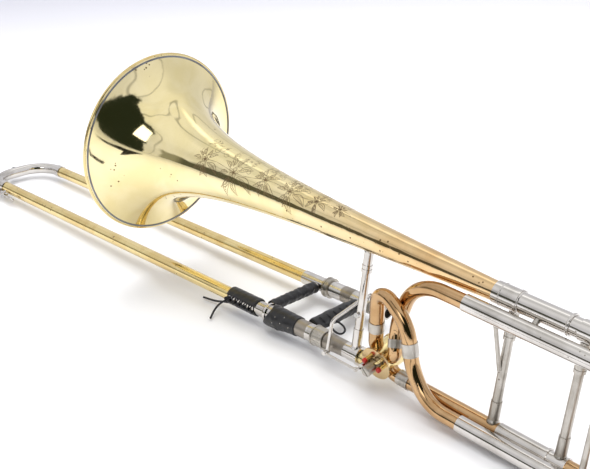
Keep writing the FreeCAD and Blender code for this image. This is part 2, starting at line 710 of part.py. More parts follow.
def bow_bumper():
    x = bow_end_x()
    y = SLIDE_SPACING / 2.0
    foot = hollow((x - 2.0, y, 0), (x + 1.5, y, 0), 4.0, 2.6)
    foot = foot.cut(rod((x + BOW_OD / 2, y - 8.0, 0), (x + BOW_OD / 2, y + 8.0, 0), BOW_OD / 2 + FIT))
    tip = turned([(0, 0), (0, 5.0), (2.2, 4.9), (4.2, 4.1), (5.6, 2.7), (6.3, 1.2), (6.4, 0)],
                 (x - 2.05, y, 0), (-1, 0, 0))
    return foot, tip


KEY_TURN = 204.0
KEY_NIPPLE_X = -648.4
KEY_PIVOT_X = -630.0
KEY_TOUCH_X = -606.0
KEY_PIVOT_OUT = 12.8


def on_key(x, out, side=0.0):
    """Point at a distance out from the bell-side tube's axis, on the water key's side of it."""
    a = math.radians(KEY_TURN)
    return (x, out * math.cos(a) - side * math.sin(a), out * math.sin(a) + side * math.cos(a))


def bow_fittings(bumper_boss):
    nipple = hollow(on_key(KEY_NIPPLE_X, 7.85), on_key(KEY_NIPPLE_X, 10.6), 2.6, 1.5)
    nipple = nipple.cut(rod((KEY_NIPPLE_X - 8, 0, 0), (KEY_NIPPLE_X + 8, 0, 0), BOW_OD / 2 + 0.92))
    ears = []
    for side in (-3.7, 2.7):
        ear = rod(on_key(KEY_PIVOT_X, KEY_PIVOT_OUT, side), on_key(KEY_PIVOT_X, KEY_PIVOT_OUT, side + 1.0),
                  2.6)
        stem = rod(on_key(KEY_PIVOT_X, 8.0, side + 0.5), on_key(KEY_PIVOT_X, KEY_PIVOT_OUT, side + 0.5),
                   0.5)
        web = ear.copy()
        web.translate(V(*on_key(0, -2.6)))
        ears.append(ear.fuse([web, stem]))
    pin = rod(on_key(KEY_PIVOT_X, KEY_PIVOT_OUT, -3.7), on_key(KEY_PIVOT_X, KEY_PIVOT_OUT, 3.7), 0.9)
    saddle = ears[0].fuse([ears[1], pin])
    saddle = saddle.cut(rod((KEY_PIVOT_X - 20, 0, 0), (KEY_PIVOT_X + 20, 0, 0), OUTER_OD / 2 + 0.02))
    return group([nipple, saddle.removeSplitter(), bumper_boss])


def water_key():
    hub = rod(on_key(KEY_PIVOT_X, KEY_PIVOT_OUT, -2.5), on_key(KEY_PIVOT_X, KEY_PIVOT_OUT, 2.5), 2.2)
    front = rod(on_key(KEY_PIVOT_X, KEY_PIVOT_OUT + 1.0), on_key(KEY_NIPPLE_X, 14.0), 1.2)
    pad = rod(on_key(KEY_NIPPLE_X, 12.5), on_key(KEY_NIPPLE_X, 14.3), 3.5)
    back = rod(on_key(KEY_PIVOT_X, KEY_PIVOT_OUT), on_key(KEY_TOUCH_X, 14.6), 1.3)
    touch = rod(on_key(KEY_TOUCH_X, 13.8), on_key(KEY_TOUCH_X + 0.3, 15.6), 3.6)
    key = hub.fuse([front, pad, back, touch]).removeSplitter()
    return key.cut(rod(on_key(KEY_PIVOT_X, KEY_PIVOT_OUT, -5), on_key(KEY_PIVOT_X, KEY_PIVOT_OUT, 5),
                       0.95))


def water_key_cork():
    return rod(on_key(KEY_NIPPLE_X, 10.65), on_key(KEY_NIPPLE_X, 12.48), 3.1)


# ---------------------------------------------------------------- laces and the grip loop
def cord_tube(name, points, radius):
    bends = []
    length = 0.0
    vectors = [V(*p) for p in points]
    for a, b, c in zip(vectors, vectors[1:], vectors[2:]):
        turn = math.acos(max(-1.0, min(1.0, (b - a).normalize().dot((c - b).normalize()))))
        a_len = (vectors[vectors.index(b)] - a).Length
        shorter = min((b - a).Length, (c - b).Length)
        bends.append(0.45 * shorter / math.tan(turn / 2.0))
    solid = pipe(points, bends, radius)
    for kind, data in route_pieces(points, bends):
        if kind == "run":
            length += (data[1] - data[0]).Length
        else:
            length += math.radians(data[4]) * (data[0] - data[2]).Length
    print(name, "length %.1f" % length, "radii", [round(b, 1) for b in bends],
          "volume ratio %.4f" % (solid.Volume / (math.pi * radius * radius * length)))
    return solid


LACE_R = 1.2
LACE_A = [(-142.05, -6.9, -6.9), (-151.0, -6.6, -9.4), (-162.0, -6.4, -13.0), (-174.0, -6.0, -15.4),
          (-186.0, -7.4, -15.8)]
LACE_B = [(-142.05, -9.3, -2.9), (-146.9, -14.9, -6.7), (-147.8, -22.5, -12.6), (-144.2, -29.5, -15.4),
          (-139.4, -36.0, -15.7)]
GRIP_LOOP = [(-16.7, 41.0, -1.5), (-8.0, 43.0, -4.0), (0.0, 39.5, -7.5), (0.5, 31.0, -8.8),
             (-7.0, 27.5, -6.5), (-16.7, 31.0, -2.5)]


# ---------------------------------------------------------------- the whole instrument
bumper_boss, bumper_tip = bow_bumper()

leaning_parts = {
    "bell": bell(),
    "bell_rim_wire": rim_wire(),
    "bell_tail_ferrule": bell_ferrule(),
    "bell_tuning_outer_tube": tuning_outer(TUNE_OUT_START + FIT, TUNE_OUT_END, BELL_AXIS_UP,
                                           TUNE_BELL_OD),
    "gooseneck": gooseneck(),
    "gooseneck_outer_tube": tuning_outer(GOOSE_OUT_START + FIT, GOOSE_OUT_END, GOOSE_UP,
                                         TUNE_GOOSE_OD),
    "tube_ferrules": group([gooseneck_ferrules(), f_ferrules()]),
    "receiver_knuckle": receiver_knuckle(),
    "bell_brace": bell_brace(),
    "section_screws": group([bell_brace_screw(), lever_hinge_screw()]),
    "tuning_tube_brace": tuning_stay(),
    "f_tube_stays": group([f_stays(), cross_stays()]),
    "valve_casing": valve_casing(),
    "valve_front_plate": valve_front_plate(),
    "valve_back_cap": valve_back_cap(),
    "valve_back_bearing": valve_back_bearing(),
    "valve_stop_plate": stop_plate(),
    "valve_stop_bumpers": stop_bumpers(),
    "f_loop_tube": f_loop(),
    "f_crook_tube": f_crook(),
    "f_outer_tubes": group([f_outer(F_UPPER_START, F_UPPER_UP), f_outer(F_LOWER_START, F_LOWER_UP)]),
    "lever_hinge": lever_hinge(),
    "thumb_lever": thumb_lever(),
    "link_rod": link_rod(),
    "valve_rotor": rotor(),
    "valve_stop_arm": stop_arm(),
    "valve_stop_arm_screw": stop_arm_screw(),
    "tuning_slide_legs": group([tuning_legs(BELL_AXIS_UP, TUNE_BELL_LEG_OD, TUNE_OUT_END),
                                tuning_legs(GOOSE_UP, TUNE_GOOSE_LEG_OD, GOOSE_OUT_END)]),
    "tuning_crook": tuning_crook(),
    "tuning_crook_ferrules": tuning_crook_ferrules(),
    "tuning_slide_brace": tuning_slide_stay(),
    "f_slide_legs": group([f_leg(F_UPPER_UP), f_leg(F_LOWER_UP)]),
    "f_bow": f_bow(),
    "f_bow_ferrules": f_bow_ferrules(),
    "f_slide_brace": f_slide_stay(),
}

level_parts = {
    "slide_receiver": slide_receiver(),
    "inner_tubes": group([inner_tube(0), inner_tube(SLIDE_SPACING)]),
    "barrel_bell_side": barrel(0),
    "barrel_mouthpiece_side": barrel(SLIDE_SPACING),
    "barrel_bumpers": barrel_bumpers(),
    "inner_brace": inner_brace(),
    "inner_brace_wrap": inner_brace_wrap(),
    "barrel_sleeve": barrel_sleeve(),
    "slide_tenon": tenon(),
    "lock_nut": lock_nut(),
    "mouthpiece_receiver": mouthpiece_receiver(),
    "leadpipe": leadpipe(),
    "outer_tubes": group([outer_tube(0), outer_tube(SLIDE_SPACING)]),
    "outer_slide_ferrules": group([outer_sleeves(), bow_ferrules()]),
    "outer_brace": outer_brace(),
    "outer_brace_wrap": outer_brace_wrap(),
    "slide_leather": slide_leather(),
    "bow": bow(),
    "bow_fittings": bow_fittings(bumper_boss),
    "bow_bumper_tip": bumper_tip,
    "water_key": water_key(),
    "water_key_cork": water_key_cork(),
}

cords = {
    "lace_end_long": cord_tube("lace_end_long", LACE_A, LACE_R),
    "lace_end_short": cord_tube("lace_end_short", LACE_B, LACE_R),
    "grip_loop": cord_tube("grip_loop", GRIP_LOOP, LACE_R),
}

parts = {}
for name, shape in leaning_parts.items():
    parts[name] = leaned(shape)
parts.update(level_parts)
parts.update(cords)
for name in parts:
    shape = parts[name].copy()
    shape.rotate(V(0, 0, 0), V(0, 1, 0), REST_PITCH)
    parts[name] = shape

# the origin is the middle of the underside of the whole instrument without its cords
solid_parts = [shape for name, shape in parts.items() if name not in cords]
whole = Part.makeCompound(solid_parts).optimalBoundingBox(False, False)
shift = V(-(whole.XMin + whole.XMax) / 2.0, -(whole.YMin + whole.YMax) / 2.0, -whole.ZMin)
print("origin shift", shift.x, shift.y, shift.z, "size", whole.XLength, whole.YLength, whole.ZLength)
for name, shape in parts.items():
    moved = shape.copy()
    moved.translate(shift)
    moved.exportStep("parts/" + name + ".step")
    print("%-26s solids %d valid %s volume %.0f low %.2f" % (
        name, len(moved.Solids), moved.isValid(), moved.Volume,
        moved.optimalBoundingBox(False, False).ZMin))
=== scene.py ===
import json
import math
import random

import bmesh
import bpy
from mathutils import Matrix, Vector
from mathutils.bvhtree import BVHTree


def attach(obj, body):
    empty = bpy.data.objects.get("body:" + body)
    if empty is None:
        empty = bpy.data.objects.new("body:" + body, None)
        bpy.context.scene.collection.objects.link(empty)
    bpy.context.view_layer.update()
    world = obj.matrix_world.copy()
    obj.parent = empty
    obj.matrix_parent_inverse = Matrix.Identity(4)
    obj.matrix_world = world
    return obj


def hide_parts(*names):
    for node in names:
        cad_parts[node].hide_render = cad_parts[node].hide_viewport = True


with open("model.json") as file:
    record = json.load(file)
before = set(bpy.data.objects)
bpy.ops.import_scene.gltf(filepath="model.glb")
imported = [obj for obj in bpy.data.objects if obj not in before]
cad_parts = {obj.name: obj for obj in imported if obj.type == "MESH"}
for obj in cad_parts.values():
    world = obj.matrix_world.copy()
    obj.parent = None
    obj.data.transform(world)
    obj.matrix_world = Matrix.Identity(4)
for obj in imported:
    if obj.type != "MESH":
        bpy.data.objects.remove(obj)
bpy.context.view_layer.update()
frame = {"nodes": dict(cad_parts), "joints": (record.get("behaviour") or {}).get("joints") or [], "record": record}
NODES = frame["nodes"]
JOINTS = {joint["name"]: joint for joint in frame["joints"]}
MM = 0.001


# ---------------------------------------------------------------- the two part frames
def triad(x_axis, y_axis, origin):
    x = Vector(x_axis).normalized()
    z = x.cross(Vector(y_axis)).normalized()
    y = z.cross(x)
    turn = Matrix((x, y, z)).transposed().to_4x4()
    return Matrix.Translation(Vector(origin)) @ turn


# slide frame: millimetres from the lock nut on the bell-side slide axis, x to the player,
# y to the mouthpiece side, z up
SLIDE = triad(JOINTS["lock_nut_turn"]["axis"], (0, 1, 0), JOINTS["lock_nut_turn"]["pos_m"])
# bell frame: the same, turned with the leaning, opened bell section; the bell's axis runs along
# x at BELL_AXIS_UP
LEVER_PIVOT = Vector((50.0, 8.4, 61.0)) * MM
BELL_AXIS_UP = 132.0
BELL_RIM_X = -286.0
BELL_TAIL_X = 207.0
SLIDE_SPACING = 94.0
BELL_TURN = triad(JOINTS["main_tuning"]["axis"],
                  [-c for c in JOINTS["thumb_lever_hinge"]["axis"]], (0, 0, 0))
BELL = Matrix.Translation(Vector(JOINTS["thumb_lever_hinge"]["pos_m"])
                          - BELL_TURN @ LEVER_PIVOT) @ BELL_TURN


def at(part_frame, x, y, z):
    """Row-frame point in metres of a point given in millimetres in a part frame."""
    return part_frame @ (Vector((x, y, z)) * MM)


# ---------------------------------------------------------------- camera
# place in millimetres and directions in the slide frame
CAMERA_AT = (665.4, -695.0, 527.9)
CAMERA_RIGHT = (0.71354, 0.70059, 0.00691)
CAMERA_UP = (-0.27914, 0.27523, 0.91996)
FOCAL_PX = 1024.6
SHIFT_PX = (-17.9, 0.7)
IMAGE_W = 590.0
SENSOR_MM = 36.0


def make_camera():
    data = bpy.data.cameras.new("camera")
    data.sensor_width = SENSOR_MM
    data.lens = SENSOR_MM * FOCAL_PX / IMAGE_W
    data.shift_x = SHIFT_PX[0] / IMAGE_W
    data.shift_y = SHIFT_PX[1] / IMAGE_W
    data.clip_start = 0.02
    data.clip_end = 200.0
    camera = bpy.data.objects.new("camera", data)
    bpy.context.scene.collection.objects.link(camera)
    right = Vector(CAMERA_RIGHT).normalized()
    up = (Vector(CAMERA_UP) - right * right.dot(Vector(CAMERA_UP))).normalized()
    back = right.cross(up)
    turn = Matrix((right, up, back)).transposed().to_4x4()
    slide_turn = SLIDE.to_3x3().to_4x4()
    camera.matrix_world = Matrix.Translation(at(SLIDE, *CAMERA_AT)) @ slide_turn @ turn
    bpy.context.scene.camera = camera


make_camera()


# ---------------------------------------------------------------- cords
LACE_D = 2.4
# routes in millimetres in the slide frame
LONG_END = [(-142.05, -6.9, -6.9), (-151.0, -6.6, -9.4), (-162.0, -6.4, -13.0),
            (-174.0, -6.0, -15.4), (-186.0, -7.4, -15.8)]
SHORT_END = [(-142.05, -9.3, -2.9), (-146.9, -14.9, -6.7), (-147.8, -22.5, -12.6),
             (-144.2, -29.5, -15.4), (-139.4, -36.0, -15.7)]
GRIP_LOOP = [(-16.7, 41.0, -1.5), (-8.0, 43.0, -4.0), (0.0, 39.5, -7.5), (0.5, 31.0, -8.8),
             (-7.0, 27.5, -6.5), (-16.7, 31.0, -2.5)]


def make_cord(node, route, body):
    points = [at(SLIDE, *p) for p in route]
    curve = bpy.data.curves.new(node + "_cord", "CURVE")
    curve.dimensions = "3D"
    # the points' own radii carry the thickness, so the curve's box has the cord's real size
    curve.bevel_depth = 1.0
    curve.bevel_resolution = 4
    curve.resolution_u = 16
    curve.use_fill_caps = True
    line = curve.splines.new("NURBS")
    line.points.add(len(points) - 1)
    for spot, point in zip(line.points, points):
        spot.co = (*point, 1.0)
        spot.radius = LACE_D / 2 * MM
    line.order_u = 3
    line.use_endpoint_u = True
    cord = bpy.data.objects.new(node + "_cord", curve)
    bpy.context.scene.collection.objects.link(cord)
    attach(cord, body)
    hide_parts(node)
    return cord


CORDS = [make_cord("lace_end_long", LONG_END, "outer_slide"),
         make_cord("lace_end_short", SHORT_END, "outer_slide"),
         make_cord("grip_loop", GRIP_LOOP, "bell_section")]


# ---------------------------------------------------------------- node helpers
class Tree:
    """A material's node tree with short calls for the nodes that the finishes use."""

    def __init__(self, name):
        self.material = bpy.data.materials.new(name)
        self.material.use_nodes = True
        self.nodes = self.material.node_tree.nodes
        self.links = self.material.node_tree.links
        self.shader = self.nodes["Principled BSDF"]
        self.where = self.nodes.new("ShaderNodeTexCoord").outputs["Object"]

    def set(self, **values):
        for key, value in values.items():
            self.shader.inputs[key.replace("_", " ")].default_value = value

    def feed(self, socket, source):
        if isinstance(source, bpy.types.NodeSocket):
            self.links.new(source, socket)
        else:
            socket.default_value = source

    def stretched(self, scale):
        node = self.nodes.new("ShaderNodeMapping")
        node.inputs["Scale"].default_value = scale
        self.feed(node.inputs["Vector"], self.where)
        return node.outputs["Vector"]

    def noise(self, scale, detail=3.0, rough=0.55, source=None, lift=0.0):
        node = self.nodes.new("ShaderNodeTexNoise")
        node.inputs["Scale"].default_value = scale
        node.inputs["Detail"].default_value = detail
        node.inputs["Roughness"].default_value = rough
        node.inputs["Distortion"].default_value = lift
        self.feed(node.inputs["Vector"], source or self.where)
        return node.outputs["Fac"]

    def cells(self, scale):
        node = self.nodes.new("ShaderNodeTexVoronoi")
        node.inputs["Scale"].default_value = scale
        self.feed(node.inputs["Vector"], self.where)
        return node.outputs["Distance"]

    def ramp(self, source, low, high, start=0.0, end=1.0):
        node = self.nodes.new("ShaderNodeMapRange")
        node.interpolation_type = "SMOOTHSTEP"
        for key, value in (("From Min", low), ("From Max", high), ("To Min", start),
                           ("To Max", end)):
            node.inputs[key].default_value = value
        self.feed(node.inputs["Value"], source)
        return node.outputs["Result"]

    def math(self, kind, a, b=0.0):
        node = self.nodes.new("ShaderNodeMath")
        node.operation = kind
        self.feed(node.inputs[0], a)
        self.feed(node.inputs[1], b)
        return node.outputs["Value"]

    def mix(self, share, first, second):
        node = self.nodes.new("ShaderNodeMix")
        node.data_type = "RGBA"
        self.feed(node.inputs["Factor"], share)
        for socket, value in ((node.inputs["A"], first), (node.inputs["B"], second)):
            if isinstance(value, tuple):
                value = value + (1.0,) * (4 - len(value))
            self.feed(socket, value)
        return node.outputs["Result"]

    def axis(self, name):
        node = self.nodes.new("ShaderNodeSeparateXYZ")
        self.feed(node.inputs["Vector"], self.where)
        return node.outputs[name]

    def bump(self, height, strength, distance):
        node = self.nodes.new("ShaderNodeBump")
        node.inputs["Strength"].default_value = strength
        node.inputs["Distance"].default_value = distance
        self.feed(node.inputs["Height"], height)
        last = self.shader.inputs["Normal"].links
        if last:
            self.links.new(last[0].from_socket, node.inputs["Normal"])
        self.links.new(node.outputs["Normal"], self.shader.inputs["Normal"])

    def colour(self, source):
        self.feed(self.shader.inputs["Base Color"], source)

    def rough(self, source):
        self.feed(self.shader.inputs["Roughness"], source)


# ---------------------------------------------------------------- finishes
def metal(name, light, deep, rough=(0.10, 0.20), specks=0.0, speck_tone=(0.16, 0.10, 0.05),
          scratches=0.15, patch_scale=22.0):
    """Polished or worn sheet metal: cloudy tone, fine drawn lines along x, small tarnish spots."""
    tree = Tree(name)
    tree.set(Metallic=1.0)
    clouds = tree.noise(patch_scale, 4.0, 0.6, lift=0.6)
    tone = tree.mix(tree.ramp(clouds, 0.38, 0.68), light, deep)
    along = tree.stretched((60.0, 900.0, 900.0))
    lines = tree.noise(1.0, 3.0, 0.7, along)
    grime = tree.noise(75.0, 5.0, 0.65)
    roughness = tree.ramp(tree.math("ADD", tree.math("MULTIPLY", lines, 0.45),
                                    tree.math("MULTIPLY", grime, 0.55)), 0.35, 0.70, *rough)
    if specks > 0.0:
        spots = tree.cells(150.0)
        where = tree.ramp(tree.noise(26.0, 2.0, 0.5), 0.52, 0.60)
        size = tree.math("MULTIPLY", where, specks)
        hit = tree.math("MULTIPLY", tree.ramp(tree.math("SUBTRACT", size, spots), 0.0, 0.05), 0.8)
        tone = tree.mix(hit, tone, speck_tone)
        roughness = tree.math("ADD", roughness, tree.math("MULTIPLY", hit, 0.3))
    tree.colour(tone)
    tree.rough(roughness)
    tree.bump(lines, scratches * 0.1, 0.0002)
    tree.bump(grime, scratches * 0.12, 0.0004)
    return tree


def bell_metal():
    """Yellow brass at the flare that turns rosier towards the tail."""
    tree = Tree("finish_bell_brass")
    tree.set(Metallic=1.0)
    low = at(BELL, BELL_RIM_X, 0.0, BELL_AXIS_UP).x
    tail = at(BELL, BELL_TAIL_X, 0.0, BELL_AXIS_UP).x
    rosy = tree.ramp(tree.axis("X"), low + 0.16, tail - 0.03)
    clouds = tree.noise(17.0, 4.0, 0.6, lift=0.8)
    yellow = tree.mix(tree.ramp(clouds, 0.35, 0.7), (0.96, 0.84, 0.50), (0.90, 0.77, 0.40))
    rose = tree.mix(tree.ramp(clouds, 0.35, 0.7), (0.84, 0.61, 0.34), (0.74, 0.48, 0.23))
    tone = tree.mix(rosy, yellow, rose)
    spots = tree.cells(170.0)
    where = tree.ramp(tree.noise(24.0, 2.0, 0.5), 0.56, 0.63)
    hit = tree.ramp(tree.math("SUBTRACT", tree.math("MULTIPLY", where, 0.22), spots), 0.0, 0.06)
    tone = tree.mix(tree.math("MULTIPLY", hit, 0.85), tone, (0.14, 0.08, 0.03))
    along = tree.stretched((40.0, 420.0, 420.0))
    lines = tree.noise(1.0, 3.0, 0.7, along)
    grime = tree.noise(60.0, 5.0, 0.65)
    mixed = tree.math("ADD", tree.math("MULTIPLY", lines, 0.4), tree.math("MULTIPLY", grime, 0.6))
    tree.colour(tone)
    tree.rough(tree.math("ADD", tree.ramp(mixed, 0.35, 0.7, 0.04, 0.11),
                         tree.math("MULTIPLY", hit, 0.3)))
    tree.bump(tree.noise(14.0, 2.0, 0.5), 0.10, 0.004)
    tree.bump(lines, 0.012, 0.0002)
    return tree


def leather(name):
    """Near-black leather with pores, slightly paler along its folds."""
    tree = Tree(name)
    tree.set(Specular_IOR_Level=0.55)
    tone = (0.008, 0.008, 0.009)
    pores = tree.cells(900.0)
    folds = tree.noise(130.0, 4.0, 0.6, lift=0.5)
    tree.colour(tree.mix(tree.ramp(folds, 0.4, 0.72), tone, tuple(c * 2.2 for c in tone)))
    tree.rough(tree.ramp(folds, 0.35, 0.7, 0.30, 0.5))
    tree.bump(pores, 0.35, 0.0002)
    tree.bump(folds, 0.35, 0.0008)
    return tree


def lace_cloth(name):
    """Woven black lace."""
    tree = Tree(name)
    tree.set(Roughness=0.62, Specular_IOR_Level=0.3)
    fibre = tree.noise(1800.0, 3.0, 0.7)
    tree.colour(tree.mix(tree.ramp(fibre, 0.35, 0.7), (0.012, 0.012, 0.014), (0.05, 0.05, 0.055)))
    tree.bump(fibre, 0.5, 0.0003)
    return tree


def rubber(name, light, deep, rough=0.5):
    """Dull grained rubber or cork."""
    tree = Tree(name)
    grain = tree.noise(700.0, 4.0, 0.6)
    tree.colour(tree.mix(tree.ramp(grain, 0.35, 0.7), light, deep))
    tree.rough(tree.ramp(grain, 0.3, 0.7, rough - 0.1, rough + 0.15))
    tree.bump(grain, 0.2, 0.0002)
    return tree


FINISH = {
    "yellow_brass": metal("finish_yellow_brass", (0.88, 0.72, 0.36), (0.78, 0.59, 0.26),
                          (0.10, 0.22), 0.18),
    "rose_brass": metal("finish_rose_brass", (0.61, 0.395, 0.205), (0.48, 0.29, 0.135),
                        (0.04, 0.11), 0.10),
    "bright_nickel": metal("finish_bright_nickel", (0.72, 0.69, 0.655), (0.58, 0.55, 0.51),
                           (0.04, 0.12), 0.12, (0.22, 0.19, 0.15)),
    "dull_nickel": metal("finish_dull_nickel", (0.58, 0.55, 0.50), (0.42, 0.39, 0.34),
                         (0.28, 0.42), 0.16, (0.16, 0.13, 0.10), 0.6, 45.0),
    "steel": metal("finish_steel", (0.62, 0.61, 0.60), (0.50, 0.49, 0.47), (0.18, 0.30)),
    "black_leather": leather("finish_leather"),
    "black_lace": lace_cloth("finish_lace"),
    "cork": rubber("finish_cork", (0.52, 0.36, 0.20), (0.36, 0.22, 0.11), 0.8),
    "black_rubber": rubber("finish_black_rubber", (0.02, 0.02, 0.02), (0.05, 0.05, 0.05)),
    "red_rubber": rubber("finish_red_rubber", (0.62, 0.03, 0.015), (0.36, 0.015, 0.01), 0.42),
}
BELL_FINISH = bell_metal()


def zoned_nickel(name, low_x, high_x):
    """Nickel worn dull between two places along the instrument (row frame, metres)."""
    tree = Tree(name)
    tree.set(Metallic=1.0)
    edge = 0.0006
    stray = tree.math("MULTIPLY", tree.math("SUBTRACT", tree.noise(70.0, 3.0), 0.5), 0.006)
    along = tree.math("ADD", tree.axis("X"), stray)
    worn = tree.math("MULTIPLY", tree.ramp(along, low_x - edge, low_x + edge),
                     tree.ramp(along, high_x - edge, high_x + edge, 1.0, 0.0))
    clouds = tree.noise(60.0, 4.0, 0.6)
    bright = tree.mix(tree.ramp(clouds, 0.4, 0.7), (0.72, 0.69, 0.655), (0.60, 0.57, 0.53))
    dull = tree.mix(tree.ramp(clouds, 0.4, 0.7), (0.40, 0.36, 0.31), (0.28, 0.25, 0.21))
    tree.colour(tree.mix(worn, bright, dull))
    grain = tree.noise(420.0, 4.0, 0.7)
    tree.rough(tree.math("ADD", tree.math("MULTIPLY", worn, 0.27),
                         tree.ramp(grain, 0.3, 0.7, 0.06, 0.16)))
    tree.bump(grain, 0.05, 0.0003)
    return tree


def paint(obj, tree):
    obj.data.materials.clear()
    obj.data.materials.append(tree.material)


for part in frame["record"]["subparts"]:
    paint(NODES[part["node"]], FINISH[part["material_slot"]])
paint(NODES["bell"], BELL_FINISH)
paint(NODES["valve_front_plate"], metal("finish_plate_brass", (0.76, 0.57, 0.31),
                                        (0.62, 0.43, 0.21), (0.14, 0.26), 0.14))
# where the nickel of the slide's fittings is worn dull: x in millimetres, slide frame
for node, finish, across, low, high in [
        ("barrel_bell_side", "finish_barrel", 0, -60.0, -16.0),
        ("barrel_mouthpiece_side", "finish_barrel_far", SLIDE_SPACING, -52.0, -36.0),
        ("slide_receiver", "finish_receiver", 0, 9.0, 38.0)]:
    paint(NODES[node], zoned_nickel(finish, at(SLIDE, low, across, 0).x,
                                    at(SLIDE, high, across, 0).x))

for cord in CORDS:
    paint(cord, FINISH["black_lace"])


# ---------------------------------------------------------------- mesh helpers
def new_piece(name, bm, body, finish, smooth=True):
    """Object made from a bmesh that rides on a body."""
    mesh = bpy.data.meshes.new(name)
    bm.to_mesh(mesh)
    bm.free()
    for face in mesh.polygons:
        face.use_smooth = smooth
    piece = bpy.data.objects.new(name, mesh)
    bpy.context.scene.collection.objects.link(piece)
    piece.data.materials.append(finish.material)
    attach(piece, body)
    return piece


def place_along(part_frame, centre, way):
    """Matrix whose z runs along a direction of a part frame, through a point in millimetres."""
    direction = Vector(way).normalized()
    spin = direction.to_track_quat("Z", "Y").to_matrix().to_4x4()
    return part_frame @ Matrix.Translation(Vector(centre) * MM) @ spin


# radius in millimetres at which a turned solid piece closes on its axis
HUB = 0.02


def round_point(place, s, t, radius):
    """Point at s along a placed z, at angle t and a radius."""
    return place @ (Vector((radius * math.cos(t), radius * math.sin(t), s)) * MM)


def lathe(bm, place, profile, steps=48):
    """Closed profile of (distance along z, radius) in millimetres, turned round z."""
    rings = []
    for k in range(steps):
        turn = 2 * math.pi * k / steps
        rings.append([bm.verts.new(round_point(place, d, turn, r)) for d, r in profile])
    for k in range(steps):
        here, there = rings[k], rings[(k + 1) % steps]
        for i in range(len(profile)):
            j = (i + 1) % len(profile)
            bm.faces.new((here[i], here[j], there[j], there[i]))


def bead_profile(tube_r, half_width, height):
    """Half-round bead standing on a tube, sunk a little into it."""
    steps = 8
    foot = tube_r - 0.1
    arc = [math.pi * k / steps for k in range(steps + 1)]
    rise = [(-half_width * math.cos(turn), tube_r + height * math.sin(turn)) for turn in arc]
    return [(-half_width, foot)] + rise + [(half_width, foot)]


def strand(bm, points, radius, sides=8):
    """Round strand through points in the row frame, in metres, with rounded-off ends."""
    rings = []
    across = None
    for k, point in enumerate(points):
        way = (points[min(k + 1, len(points) - 1)] - points[max(k - 1, 0)]).normalized()
        if across is None:
            across = way.orthogonal().normalized()
        across = (across - way * across.dot(way)).normalized()
        up = way.cross(across)
        rings.append([bm.verts.new(point + (across * math.cos(t) + up * math.sin(t)) * radius)
                      for t in [2 * math.pi * i / sides for i in range(sides)]])
    for here, there in zip(rings, rings[1:]):
        for i in range(sides):
            j = (i + 1) % sides
            bm.faces.new((here[i], here[j], there[j], there[i]))
    bm.faces.new(rings[0][::-1])
    bm.faces.new(rings[-1])


# ---------------------------------------------------------------- leather on the slide
def folds(seed, count, strength):
    """Sum of seeded waves over the length and the turn of a sleeve, for creased leather."""
    rng = random.Random(seed)
    waves = [(rng.uniform(0.15, 0.9), rng.randint(1, 5), rng.uniform(0, 6.28),
              rng.uniform(0.4, 1.0)) for _ in range(count)]

    def height(s, t):
        return strength * sum(w * math.sin(f * s + n * t + p) for f, n, p, w in waves) / count

    return height


def sleeve(bm, place, length, outer_r, inner_r, shape, gap=None, rows=64, steps=96,
           first_edge=None):
    """Leather tube from z = 0 to length. gap = (middle angle, half angle) leaves a slit;
    first_edge gives where the tube begins at each angle."""
    start, sweep = (0.0, 2 * math.pi)
    if gap:
        start = gap[0] + gap[1]
        sweep = 2 * math.pi - 2 * gap[1]
    closed = gap is None
    columns = steps if closed else steps + 1

    def begins(t):
        return first_edge(t) if first_edge else 0.0

    def grid(radius_at):
        net = []
        for i in range(rows + 1):
            row = []
            for k in range(columns):
                t = start + sweep * k / steps
                s = begins(t) + (length - begins(t)) * i / rows
                row.append(bm.verts.new(round_point(place, s, t, radius_at(s, t))))
            net.append(row)
        return net

    def outer(s, t):
        edge = min(s - begins(t), length - s)
        round_off = 0.7 * math.exp(-(edge / 0.8) ** 2)
        lip = 0.0
        if gap:
            side = min((t - start), start + sweep - t) * outer_r
            lip = 0.45 * math.exp(-(side / 1.6) ** 2) - 0.5 * math.exp(-(side / 0.5) ** 2)
        return outer_r + shape(s, t) - round_off + lip

    outside = grid(outer)
    inside = grid(inner_r if callable(inner_r) else lambda s, t: inner_r)
    spans = range(steps)
    for i in range(rows):
        for k in spans:
            m = (k + 1) % columns
            bm.faces.new((outside[i][k], outside[i][m], outside[i + 1][m], outside[i + 1][k]))
            bm.faces.new((inside[i][k], inside[i + 1][k], inside[i + 1][m], inside[i][m]))
    for i in (0, rows):
        for k in spans:
            m = (k + 1) % columns
            bm.faces.new((outside[i][k], inside[i][k], inside[i][m], outside[i][m]))
    if not closed:
        for k in (0, steps):
            for i in range(rows):
                bm.faces.new((outside[i][k], outside[i + 1][k], inside[i + 1][k], inside[i][k]))


def arc_strand(bm, place, s0, t0, s1, t1, radius, thick, lift=0.0):
    """Strand over a round surface from (s0, t0) to (s1, t1), its ends sunk into it."""
    steps = 14
    points = []
    for k in range(steps + 1):
        share = k / steps
        hump = math.sin(math.pi * share)
        points.append(round_point(place, s0 + (s1 - s0) * share, t0 + (t1 - t0) * share,
                                  radius + lift * hump - (0.6 if k in (0, steps) else 0.0)))
    strand(bm, points, thick * MM)


def facing(place, toward):
    """Angle round a sleeve's z that faces a direction of the row frame."""
    local = place.inverted().to_3x3() @ Vector(toward)
    return math.atan2(local.y, local.x)


# the side that the slide's leather turns its openings and seams to
VIEWER = SLIDE.to_3x3() @ Vector((0.62, -0.66, 0.42))


